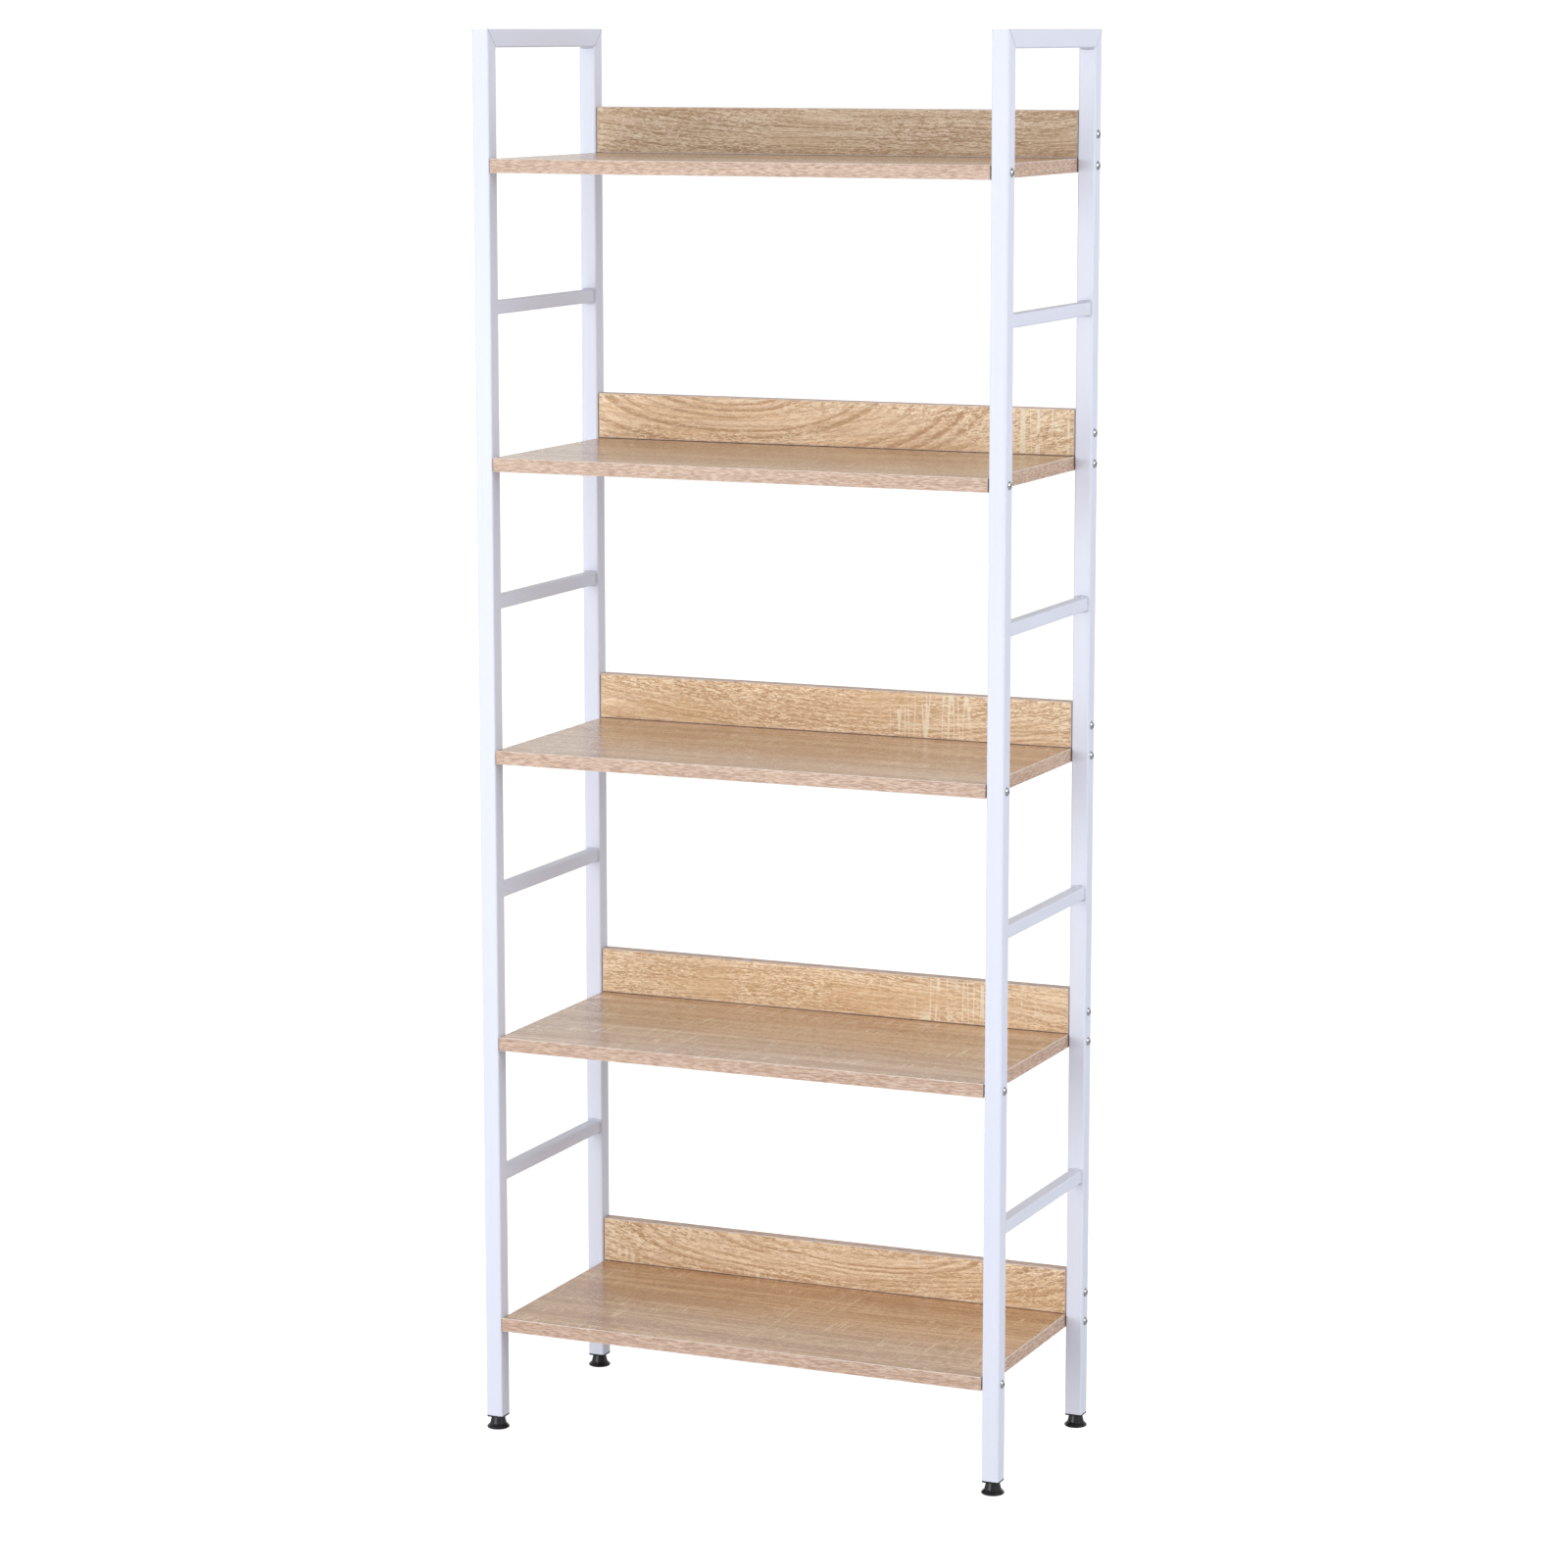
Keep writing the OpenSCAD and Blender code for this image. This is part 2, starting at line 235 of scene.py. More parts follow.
class Shader:
    """One material's node tree. Each method adds a node and returns its output socket."""

    def __init__(self, name):
        self.material = bpy.data.materials.new(name)
        self.material.use_nodes = True
        self.nodes = self.material.node_tree.nodes
        self.links = self.material.node_tree.links
        self.surface = self.nodes["Principled BSDF"]
        coordinates = self.nodes.new("ShaderNodeTexCoord")
        self.place = coordinates.outputs["Object"]
        split = self.nodes.new("ShaderNodeSeparateXYZ")
        self.links.new(self.place, split.inputs[0])
        self.x, self.y, self.z = split.outputs

    def feed(self, socket, value):
        if isinstance(value, bpy.types.NodeSocket):
            self.links.new(value, socket)
        else:
            socket.default_value = value

    def set(self, **values):
        """Values or sockets for the surface shader's inputs, spaces in their names as _."""
        for name, value in values.items():
            self.feed(self.surface.inputs[name.replace("_", " ")], value)
        return self

    def math(self, operation, a, b=0.0):
        node = self.nodes.new("ShaderNodeMath")
        node.operation = operation
        self.feed(node.inputs[0], a)
        self.feed(node.inputs[1], b)
        return node.outputs[0]

    def vector(self, x, y, z):
        node = self.nodes.new("ShaderNodeCombineXYZ")
        for socket, value in zip(node.inputs, (x, y, z)):
            self.feed(socket, value)
        return node.outputs[0]

    def stretched(self, x, y, z):
        """The object's own coordinates, each multiplied: features per metre along X, Y and Z."""
        node = self.nodes.new("ShaderNodeVectorMath")
        node.operation = "MULTIPLY"
        self.links.new(self.place, node.inputs[0])
        node.inputs[1].default_value = (x, y, z)
        return node.outputs[0]

    def noise(self, place, detail=2.0, roughness=0.5, distortion=0.0):
        node = self.nodes.new("ShaderNodeTexNoise")
        self.links.new(place, node.inputs["Vector"])
        node.inputs["Scale"].default_value = 1.0
        node.inputs["Detail"].default_value = detail
        node.inputs["Roughness"].default_value = roughness
        node.inputs["Distortion"].default_value = distortion
        return node.outputs["Fac"]

    def remap(self, value, low, high, to_low=0.0, to_high=1.0):
        node = self.nodes.new("ShaderNodeMapRange")
        node.interpolation_type = "SMOOTHSTEP"
        for socket, number in zip(node.inputs, (value, low, high, to_low, to_high)):
            self.feed(socket, number)
        return node.outputs[0]

    def ramp(self, value, stops):
        node = self.nodes.new("ShaderNodeValToRGB")
        elements = node.color_ramp.elements
        while len(elements) < len(stops):
            elements.new(0.5)
        for element, (position, colour) in zip(elements, stops):
            element.position = position
            element.color = (*colour, 1.0)
        self.feed(node.inputs[0], value)
        return node.outputs[0]

    def mix(self, factor, a, b):
        """Colour a where the factor is 0, b where it is 1."""
        node = self.nodes.new("ShaderNodeMix")
        node.data_type = "RGBA"
        self.feed(node.inputs["Factor"], factor)
        self.feed(node.inputs[6], (*a, 1.0) if isinstance(a, tuple) else a)
        self.feed(node.inputs[7], (*b, 1.0) if isinstance(b, tuple) else b)
        return node.outputs[2]

    def roundness(self):
        """1 on faces square to the axes, up to 1.41 on the rounding between two of them."""
        split = self.nodes.new("ShaderNodeSeparateXYZ")
        self.links.new(self.nodes.new("ShaderNodeNewGeometry").outputs["Normal"], split.inputs[0])
        x, y, z = [self.math("ABSOLUTE", axis) for axis in split.outputs]
        return self.math("ADD", self.math("ADD", x, y), z)

    def bump(self, height, distance, strength):
        node = self.nodes.new("ShaderNodeBump")
        node.inputs["Strength"].default_value = strength
        node.inputs["Distance"].default_value = distance
        self.feed(node.inputs["Height"], height)
        return node.outputs[0]


# --- Materials -----------------------------------------------------------------------------------


def powder_coat(name, shade):
    """White powder coat: cool white, a fine orange peel, faint draw lines along the tubes.

    shade is 1 on the tubes and lower on the weld beads and, most, on the mitre seams: painted shade that
    darkens them as if they lay in the shadow of their ripples and grooves.
    """
    s = Shader(name)
    cloud = s.noise(s.stretched(9, 9, 3), detail=3)
    lines = s.noise(s.stretched(620, 620, 3), detail=1)
    tone = (shade,) * 3
    tint = s.mix(cloud, scaled(COAT_COOL, tone), scaled(COAT_LIGHT, tone))
    tint = s.mix(s.remap(lines, 0.35, 0.75, 0.0, 0.10), tint, scaled(COAT_LINE, tone))
    peel = s.noise(s.stretched(420, 420, 420), detail=2, roughness=0.6)
    s.set(Base_Color=tint, Roughness=s.remap(cloud, 0.3, 0.7, 0.36, 0.46), Specular_IOR_Level=0.5)
    return s.set(Normal=s.bump(peel, 0.05 * MM, 0.5)).material


def oak_board(name, across, print_seed, middle, look):
    """Sawn-oak decor on a board: a log's rings cut lengthways, fibres that follow them, saw marks.

    across is the axis across the grain, "y" on a shelf and "z" on a back board, and middle the board's
    own middle on that axis.
    """
    s = Shader(name)
    u = s.math("ADD", s.x, print_seed)
    v = s.math("SUBTRACT", s.y if across == "y" else s.z, middle)
    rings = ring_number(s, u, v, look)
    # the fibres follow the rings, and stay fine where a ring runs wide
    fine = 240 if look.heart_v < 0 else -240
    over = s.math("ADD", s.math("MULTIPLY", rings, 1.6), s.math("MULTIPLY", v, fine))
    wood = ring_figure(s, u, v, rings, look)
    wood = fibre_streaks(s, u, v, over, wood, look)
    crackle = s.noise(s.vector(s.math("MULTIPLY", u, 170), s.math("MULTIPLY", over, 1.8), 2.5),
                      detail=2, roughness=0.6, distortion=0.9)
    patches = s.remap(s.noise(grain_place(s, u, v, 9, 30), detail=2), 0.35, 0.60, 0.45, 1.0)
    pores = s.math("MULTIPLY", s.remap(crackle, 0.50, 0.645, 0.0, look.pores), patches)
    flecks = s.math("MULTIPLY", s.remap(crackle, 0.49, 0.355, 0.0, look.pores), patches)
    wood = s.mix(pores, wood, scaled(OAK_PORE, look.tone))
    wood = s.mix(flecks, wood, scaled(OAK_PALE, look.tone))
    marks = saw_marks(s, u, v, look)
    wood = s.mix(s.math("MULTIPLY", marks, look.saw_tint), wood, scaled(OAK_SAWN, look.tone))
    s.set(Base_Color=wood, Roughness=s.remap(crackle, 0.4, 0.6, look.gloss, look.gloss + 0.08))
    s.set(Specular_IOR_Level=look.shine)
    relief = s.math("SUBTRACT", marks, pores)
    return s.set(Normal=s.bump(relief, 0.05 * MM, 0.4)).material


def ring_figure(s, u, v, rings, look):
    """Colour of the wood with its growth rings: some rings stand out, most are faint."""
    late = s.ramp(s.math("FRACT", rings), [(0.0, (0.0,) * 3), (0.40, (0.25,) * 3), (0.74, (1.0,) * 3),
                                           (0.88, (0.75,) * 3), (1.0, (0.0,) * 3)])
    uneven = s.noise(s.vector(s.math("MULTIPLY", rings, 0.7), s.math("MULTIPLY", u, 4), 0.3), detail=1)
    rings_seen = s.math("MULTIPLY", late, s.remap(uneven, 0.40, 0.62, 0.15, look.figure))
    broad = s.noise(grain_place(s, u, v, 2.4, 30), detail=2)
    wood = s.mix(s.remap(broad, 0.40, 0.60), scaled(OAK_CREAM, look.tone), scaled(OAK_GOLD, look.tone))
    return s.mix(rings_seen, wood, scaled(OAK_DARK, look.tone))


def fibre_streaks(s, u, v, over, wood, look):
    """The wood's colour with dark and pale fibres, then with long darker bands."""
    streak = s.noise(s.vector(s.math("MULTIPLY", u, look.runs), over, 0.5), detail=3, roughness=0.55)
    wood = s.mix(s.remap(streak, 0.46, 0.64, 0.0, look.streaks), wood, scaled(OAK_DARK, look.tone))
    wood = s.mix(s.remap(streak, 0.47, 0.34, 0.0, 0.6 * look.streaks), wood, scaled(OAK_PALE, look.tone))
    zones = s.noise(grain_place(s, u, v, 2.2, 62), detail=3)
    return s.mix(s.remap(zones, 0.46, 0.58, 0.0, look.zones), wood, scaled(OAK_DARK, look.tone))


def grain_place(s, u, v, along, over):
    return s.vector(s.math("MULTIPLY", u, along), s.math("MULTIPLY", v, over), 0.5)


def ring_number(s, u, v, look):
    """Number of growth rings between the heart of the log and a point of the face."""
    slow = s.noise(grain_place(s, u, v, 5, 14), detail=1)
    quick = s.noise(grain_place(s, u, v, 26, 70), detail=2)
    wave = s.math("ADD", s.math("MULTIPLY", slow, look.wave), s.math("MULTIPLY", quick, 0.2 * look.wave))
    over = s.math("ADD", s.math("SUBTRACT", v, look.heart_v), wave)
    deep = s.math("MULTIPLY", s.math("SUBTRACT", s.x, look.heart_x), look.slope)
    square = s.math("ADD", s.math("MULTIPLY", over, over), s.math("MULTIPLY", deep, deep))
    return s.math("DIVIDE", s.math("SQRT", square), look.spacing)


def saw_marks(s, u, v, look):
    """Thin light lines across the grain, in clusters: some anywhere, and one cluster at look.saw_x."""
    lines = s.noise(s.vector(s.math("MULTIPLY", u, look.saw_pitch), s.math("MULTIPLY", v, 6), 7.7), detail=0)
    rungs = s.noise(s.vector(s.math("MULTIPLY", u, 30), s.math("MULTIPLY", v, 260), 1.7), detail=0)
    patch = s.noise(s.vector(s.math("MULTIPLY", u, 9), s.math("MULTIPLY", v, 26), 3.1), detail=2)
    thin = hair_lines(s, lines, look.saw_line)
    anywhere = s.remap(patch, 0.66 - 0.3 * look.saw, 0.74 - 0.3 * look.saw)
    away = s.math("ABSOLUTE", s.math("SUBTRACT", s.x, look.saw_x))
    cluster = s.math("MULTIPLY", s.remap(away, 0.062, 0.040), s.remap(patch, 0.34, 0.46))
    grid = s.math("MAXIMUM", thin, s.math("MULTIPLY", hair_lines(s, rungs, look.saw_line), 0.7))
    return s.math("MAXIMUM", s.math("MULTIPLY", thin, anywhere), s.math("MULTIPLY", grid, cluster))


def hair_lines(s, noise, width):
    """1 on the thin lines where a noise crosses its middle value, 0 elsewhere."""
    return s.remap(s.math("ABSOLUTE", s.math("SUBTRACT", noise, 0.5)), 2 * width, 0.5 * width)


def edge_band(name, width_axis):
    """Pinkish oak edge banding: fine straight grain along each strip, and a painted highlight on its rounded
    edges.
    """
    s = Shader(name)
    end_strip = s.math("GREATER_THAN", s.math("ABSOLUTE", s.x), BOARD_END)
    # along runs with the strip: X on the long strips, the other axis on the end strips
    end_along, end_over = (s.y, s.z) if width_axis == "z" else (s.z, s.y)
    over_long = s.z if width_axis == "z" else s.y
    along = blend_value(s, end_strip, s.x, end_along)
    over = blend_value(s, end_strip, over_long, end_over)
    height = s.math("MULTIPLY", s.z, 3.0)
    fibres = s.noise(s.vector(s.math("MULTIPLY", along, 110), s.math("MULTIPLY", over, 1000), height),
                     detail=2, roughness=0.6)
    broad = s.noise(s.vector(s.math("MULTIPLY", along, 5), s.math("MULTIPLY", over, 160), height), detail=2)
    wood = s.mix(s.remap(broad, 0.35, 0.65), BAND_LIGHT, BAND_MID)
    wood = s.mix(s.remap(fibres, 0.50, 0.58, 0.0, 0.68), wood, BAND_DARK)
    wood = s.mix(s.remap(fibres, 0.47, 0.40, 0.0, 0.58), wood, BAND_PALE)
    # painted highlight: the band is paler on its rounded edges, as where they catch the light
    wood = s.mix(s.remap(s.roundness(), 1.06, 1.30, 0.0, 0.65), wood, BAND_EDGE_HIGHLIGHT)
    s.set(Base_Color=wood, Roughness=s.remap(fibres, 0.35, 0.65, 0.36, 0.46))
    return s.set(Normal=s.bump(fibres, 0.05 * MM, 0.4)).material


def blend_value(s, factor, a, b):
    node = s.nodes.new("ShaderNodeMix")
    s.feed(node.inputs["Factor"], factor)
    s.feed(node.inputs[2], a)
    s.feed(node.inputs[3], b)
    return node.outputs[0]


def bolt_steel():
    """Bright nickel plating: nearly mirror-like, with a slight uneven haze."""
    s = Shader("bolt_plating")
    haze = s.noise(s.stretched(900, 900, 900), detail=3, roughness=0.6)
    s.set(Base_Color=s.mix(haze, (0.40, 0.41, 0.44), (0.52, 0.53, 0.56)), Metallic=1.0)
    s.set(Roughness=s.remap(haze, 0.3, 0.7, 0.10, 0.22))
    return s.set(Normal=s.bump(haze, 0.01 * MM, 0.3)).material


def zinc():
    """Zinc plating, blue-white with patches of haze."""
    s = Shader("zinc_plating")
    patch = s.noise(s.stretched(160, 160, 160), detail=4, roughness=0.65)
    s.set(Base_Color=s.mix(s.remap(patch, 0.3, 0.7), (0.50, 0.53, 0.58), (0.70, 0.70, 0.68)), Metallic=1.0)
    s.set(Roughness=s.remap(patch, 0.3, 0.7, 0.26, 0.44))
    grain = s.noise(s.stretched(2200, 2200, 2200), detail=2)
    return s.set(Normal=s.bump(grain, 0.01 * MM, 0.4)).material


def plug_plastic():
    """Satin black nylon of the end plugs, finely spark-eroded."""
    s = Shader("plug_plastic")
    grain = s.noise(s.stretched(1500, 1500, 1500), detail=2, roughness=0.7)
    s.set(Base_Color=s.mix(grain, (0.010, 0.010, 0.012), (0.022, 0.022, 0.026)))
    s.set(Roughness=s.remap(grain, 0.3, 0.7, 0.40, 0.55), Specular_IOR_Level=0.35)
    return s.set(Normal=s.bump(grain, 0.03 * MM, 0.5)).material


def foot_plastic():
    """Glossy black moulded feet with faint flow marks and handling haze."""
    s = Shader("foot_plastic")
    flow = s.noise(s.stretched(130, 130, 40), detail=3, distortion=0.6)
    s.set(Base_Color=s.mix(flow, (0.008, 0.008, 0.011), (0.016, 0.016, 0.021)))
    s.set(Roughness=s.remap(flow, 0.3, 0.7, 0.16, 0.28), Specular_IOR_Level=0.32)
    return s.set(Normal=s.bump(flow, 0.04 * MM, 0.35)).material


def scaled(colour, tone):
    return tuple(min(0.95, channel * part) for channel, part in zip(colour, tone))


COAT_COOL = (0.735, 0.770, 0.900)
COAT_LIGHT = (0.760, 0.795, 0.925)
COAT_LINE = (0.650, 0.685, 0.820)
OAK_CREAM = (0.88, 0.680, 0.465)
OAK_GOLD = (0.80, 0.565, 0.335)
OAK_DARK = (0.50, 0.285, 0.130)
OAK_PORE = (0.44, 0.262, 0.130)
OAK_PALE = (0.95, 0.790, 0.600)
OAK_SAWN = (0.95, 0.850, 0.680)
BAND_LIGHT = (0.61, 0.430, 0.325)
BAND_MID = (0.55, 0.375, 0.275)
BAND_DARK = (0.37, 0.225, 0.150)
BAND_PALE = (0.76, 0.600, 0.500)
# painted highlight on the bands' rounded edges
BAND_EDGE_HIGHLIGHT = (0.92, 0.840, 0.790)

# A print of the decor.
# heart_x, heart_v: where the log's heart meets the face, along and across the board
# slope: how fast the heart leaves the face to either side of heart_x
# spacing, wave: width of the rings and their waviness
# tone: factors on every colour's red, green and blue; on the shelf tops and the top back board they also
# hold painted shade
# figure, streaks, zones, pores: contrasts of the rings, fibres, long bands and crackle
# runs: how often the streaks change along the board, per metre
# gloss, shine: lowest roughness and specular level
# saw, saw_x: share of scattered saw marks, and the place of one cluster
# saw_pitch, saw_line, saw_tint: how close, how thin and how light the marks are
Print = namedtuple("Print", "heart_x heart_v slope spacing wave tone figure runs streaks zones pores "
                            "gloss shine saw saw_x saw_pitch saw_line saw_tint")


NO_CLUSTER = 9.0           # a cluster's place that is far off the board


def back_print(heart_x, heart_v, slope, spacing, wave, tone, figure, streaks, pores, saw, saw_x):
    return Print(heart_x, heart_v, slope, spacing * MM, wave * MM, (tone,) * 3, figure, runs=12,
                 streaks=streaks, zones=0.15, pores=pores, gloss=0.34, shine=0.50, saw=saw,
                 saw_x=saw_x, saw_pitch=120, saw_line=0.028, saw_tint=0.62)


def shelf_print(heart_x, heart_v, slope, spacing, tone, figure, saw):
    # zones=0.80: long dark bands of the grain, made strong partly as painted shade that darkens the tops
    return Print(heart_x, heart_v, slope, spacing * MM, wave=30 * MM, tone=tone, figure=figure,
                 runs=3.5, streaks=1.0, zones=0.80, pores=0.80, gloss=0.20, shine=0.95, saw=saw,
                 saw_x=NO_CLUSTER, saw_pitch=200, saw_line=0.020, saw_tint=0.80)


# Per tier, from the bottom
BACK_PRINTS = [
    back_print(0.02, 0.044, 0.20, 5.5, 26, 0.97, 1.0, 0.60, 0.95, 0.00, 0.50),
    back_print(-0.10, -0.055, 0.16, 4.6, 22, 1.04, 0.80, 0.60, 1.00, 0.10, 0.15),
    back_print(0.05, 0.060, 0.20, 5.0, 22, 1.04, 0.85, 0.60, 1.00, 0.00, 0.12),
    back_print(-0.12, 0.050, 0.36, 7.5, 9, 1.05, 1.60, 0.50, 0.95, 0.00, 0.26),
    # tone 0.77: painted shade, the top back board made darker overall for the dimmer light at the top
    back_print(0.10, 0.056, 0.12, 4.2, 26, 0.77, 1.00, 0.70, 1.00, -0.30, 0.50),
]
# Painted shade: these tones make each top darker and greyer than the back boards of the same decor, and the
# lowest top darker and browner still, as they lie in less light
SHELF_PRINTS = [
    shelf_print(0.10, 0.160, 0.10, 9.0, (0.86, 0.73, 0.58), 1.00, 0.56),
    shelf_print(-0.20, -0.190, 0.10, 9.5, (0.90, 0.85, 0.82), 1.00, 0.55),
    shelf_print(0.00, 0.185, 0.10, 9.0, (0.94, 0.90, 0.88), 1.00, 0.48),
    shelf_print(0.15, -0.170, 0.12, 8.5, (0.91, 0.88, 0.86), 1.00, 0.35),
    shelf_print(-0.10, 0.160, 0.10, 9.0, (0.91, 0.88, 0.87), 1.00, 0.38),
]


def paint(node, material):
    obj = frame["nodes"][node]
    for slot in obj.material_slots:
        slot.material = material


def paint_boards():
    for tier in TIERS:
        look = SHELF_PRINTS[tier - 1]
        paint(f"shelf_board_{tier}", oak_board(f"oak_shelf_{tier}", "y", 1.7 * tier, 0.0, look))
        look = BACK_PRINTS[tier - 1]
        middle = mid_height(f"back_board_{tier}")
        paint(f"back_board_{tier}", oak_board(f"oak_back_{tier}", "z", 0.9 + 2.3 * tier, middle, look))
    shelf_band = edge_band("oak_band_shelf", "z")
    back_band = edge_band("oak_band_back", "y")
    for tier in TIERS:
        paint(f"shelf_edge_bands_{tier}", shelf_band)
        paint(f"back_edge_bands_{tier}", back_band)


def paint_hidden_steel(material):
    for side in SIDES:
        paint(f"{side}_shelf_inserts", material)
        paint(f"{side}_back_board_inserts", material)
        for end in ENDS:
            paint(f"{side}_{end}_plug_nut", material)


def paint_frame(material):
    for side in SIDES:
        for part in ("front_post", "rear_post", "top_rail", "rung_1", "rung_2", "rung_3", "rung_4"):
            paint(f"{side}_{part}", material)


# --- Welds ---------------------------------------------------------------------------------------

WELD_SINK = 0.5 * MM       # how deep a bead's edges sit in the tubes
RIPPLE = 1.7 * MM          # length of one weld ripple
BEAD_STEPS = 6             # chords across a bead
RUNG_LEG = 1.15 * MM       # leg of a rung's bead on the rung's sides
RUNG_LEG_MORE = 0.70 * MM  # what the leg gains above and below the rung
RUNG_LEG_MOST = 2.3 * MM   # the furthest that it stands off the rung
RIPPLE_HEIGHT = 0.20 * MM
LUMP_SPREAD = 0.22         # half width of a lump, in radians round the rung
CORNER_LEG = 2.5 * MM      # leg of the bead in a top corner
CORNER_INSET = 0.9 * MM    # how far that bead ends inside the post's side faces
CORNER_RIPPLE = 0.15 * MM
SEAM_HALF_WIDTH = 0.55 * MM
SEAM_HEIGHT = 0.16 * MM
SEAM_SINK = 0.06 * MM      # how deep a seam's long edges lie under the tube's face
SEAM_STEPS = 6             # chords across a seam


def bead_section(leg_along, leg_out):
    """Closed section of a bead in a corner: (away from the post's face, away from the rung's face)."""
    section = [(leg_along, -WELD_SINK)]
    for step in range(BEAD_STEPS + 1):
        a = math.pi / 2 * step / BEAD_STEPS
        section.append((leg_along * math.cos(a) ** 1.3, leg_out * math.sin(a) ** 1.3))
    return section + [(-WELD_SINK, leg_out), (-WELD_SINK, -WELD_SINK)]


def ripple(distance, phase):
    """Height of the weld's scalloped surface, -1 to 1, at a distance along the bead."""
    return 2 * abs(math.sin(math.pi * distance / RIPPLE + phase)) - 1.2


def rung_bead(x, z, face_y, outward):
    """Bead round a rung's end. outward is +1 where the post is towards +Y."""
    shell = Shell()
    phase = rng.uniform(0, math.pi)
    lumps = [(rng.uniform(0, 2 * math.pi), rng.uniform(0.35, 0.85) * MM) for _ in range(4)]
    path = rounded_square(RUNG_W / 2, RUNG_R, 0.0, arc_steps=10, flat_steps=30)
    travelled = 0.0
    rows = []
    for here, ahead in zip(path, path[1:] + path[:1]):
        angle = math.atan2(here.y, here.x)
        level = abs(math.sin(angle)) ** 2
        leg = RUNG_LEG + RUNG_LEG_MORE * level + RIPPLE_HEIGHT * ripple(travelled, phase)
        for middle, size in lumps:
            apart = abs((angle - middle + math.pi) % (2 * math.pi) - math.pi)
            leg += size * math.exp(-(apart / LUMP_SPREAD) ** 2)
        normal = square_normal(here, RUNG_W / 2 - RUNG_R)
        rows.append(shell.ring([
            Vector((x + here.x + normal.x * out, face_y - outward * along, z + here.y + normal.y * out))
            for along, out in bead_section(leg * 1.05, min(leg, RUNG_LEG_MOST))]))
        travelled += (ahead - here).length
    for a, b in zip(rows, rows[1:] + rows[:1]):
        shell.bridge(*((b, a) if outward < 0 else (a, b)))
    return shell


def square_normal(point, inner):
    """Outward direction at a point of a rounded square whose corner arcs centre on +-inner."""
    core = Vector((max(-inner, min(inner, point.x)), max(-inner, min(inner, point.y)), 0))
    return (Vector((point.x, point.y, 0)) - core).normalized()


def corner_bead(x, end):
    """Bead across the inside corner between a top rail and a post."""
    shell = Shell()
    phase = rng.uniform(0, math.pi)
    half_length = POST_W / 2 - CORNER_INSET
    stations = 48
    corner_y = end * (POST_Y - POST_W / 2)
    corner_z = FRAME_TOP - POST_W
    rows = []
    for i in range(stations + 1):
        share = 2 * i / stations - 1
        leg = CORNER_LEG * max(0.12, 1 - abs(share) ** 3.2) ** 0.6
        leg += CORNER_RIPPLE * ripple(share * half_length, phase) * (1 - abs(share) ** 4)
        rows.append(shell.ring([
            Vector((x + share * half_length, corner_y - end * along, corner_z - out))
            for along, out in bead_section(leg, leg * 0.95)]))
    for a, b in zip(rows, rows[1:]):
        shell.bridge(*((a, b) if end > 0 else (b, a)))
    shell.faces.append(rows[0] if end < 0 else rows[0][::-1])
    shell.faces.append(rows[-1][::-1] if end < 0 else rows[-1])
    return shell


def mitre_seam(face_x, outward, end):
    """Ground-down weld along the mitre on a side face: a low ridge on the diagonal."""
    shell = Shell()
    inset = POST_R * 0.35
    stations = 30
    across = Vector((0, end, -1)).normalized()
    start = Vector((face_x, end * (POST_Y - POST_W / 2 + inset), FRAME_TOP - POST_W + inset))
    along = Vector((0, end, 1)) * (POST_W - 2 * inset)
    rows = []
    for i in range(stations + 1):
        share = i / stations
        # runs out at both ends, a little uneven between
        swell = math.sin(math.pi * share) ** 0.35 * (1 + 0.15 * math.sin(31 * share + 9 * face_x))
        row = []
        for step in range(SEAM_STEPS + 1):
            over = 2 * step / SEAM_STEPS - 1
            rise = SEAM_HEIGHT * swell * (1 - over * over) - SEAM_SINK
            row.append(start + along * share + across * (over * SEAM_HALF_WIDTH)
                       + Vector((outward * rise, 0, 0)))
        row.append(start + along * share - Vector((outward * WELD_SINK, 0, 0)))
        rows.append(shell.ring(row))
    flip = outward * end < 0
    for a, b in zip(rows, rows[1:]):
        shell.bridge(*((b, a) if flip else (a, b)))
    shell.faces.append(rows[0] if flip else rows[0][::-1])
    shell.faces.append(rows[-1][::-1] if flip else rows[-1])
    return shell


def make_welds(bead_material, seam_material):
    for side, sx in SIDES.items():
        x = sx * POST_X
        beads, seams = Shell(), Shell()
        for tier in list(TIERS)[:-1]:
            z = mid_height(f"{side}_rung_{tier}")
            for end in ENDS.values():
                beads.add(rung_bead(x, z, end * (POST_Y - POST_W / 2), end), Vector)
        for end in ENDS.values():
            beads.add(corner_bead(x, end), Vector)
            for outward in (-1, 1):
                seams.add(mitre_seam(x + outward * POST_W / 2, outward, end), Vector)
        parts = [("welds", beads, bead_material), ("mitre_seams", seams, seam_material)]
        for part, shell, material in parts:
            obj = make_object(f"{side}_{part}", shell.vertices, shell.faces, material, sharp_angle=75)
            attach(obj, "frame")


# --- Bolts ---------------------------------------------------------------------------------------

HEAD_R = 4.75 * MM
HEAD_H = 2.75 * MM
HEAD_RIM = 0.35 * MM
SOCKET_APOTHEM = 1.5 * MM
SOCKET_DEPTH = 1.7 * MM
BOLT_R = 2.5 * MM
BOLT_LENGTH = 30 * MM
BOLT_PITCH = 0.8 * MM
BOLT_THREAD_DEPTH = 0.45 * MM
HEAD_SEGMENTS = 48
DOME_STEPS = 9             # rows of the dome between its rim and the socket
SOCKET_EDGE = 2.0 * MM     # radius where the dome ends at the socket


def dome_height(radius):
    """Height of the button head's dome at a distance from its axis."""
    dome = HEAD_H - HEAD_RIM
    sphere = (HEAD_R ** 2 + dome ** 2) / (2 * dome)
    return HEAD_H - sphere + math.sqrt(sphere ** 2 - radius ** 2)


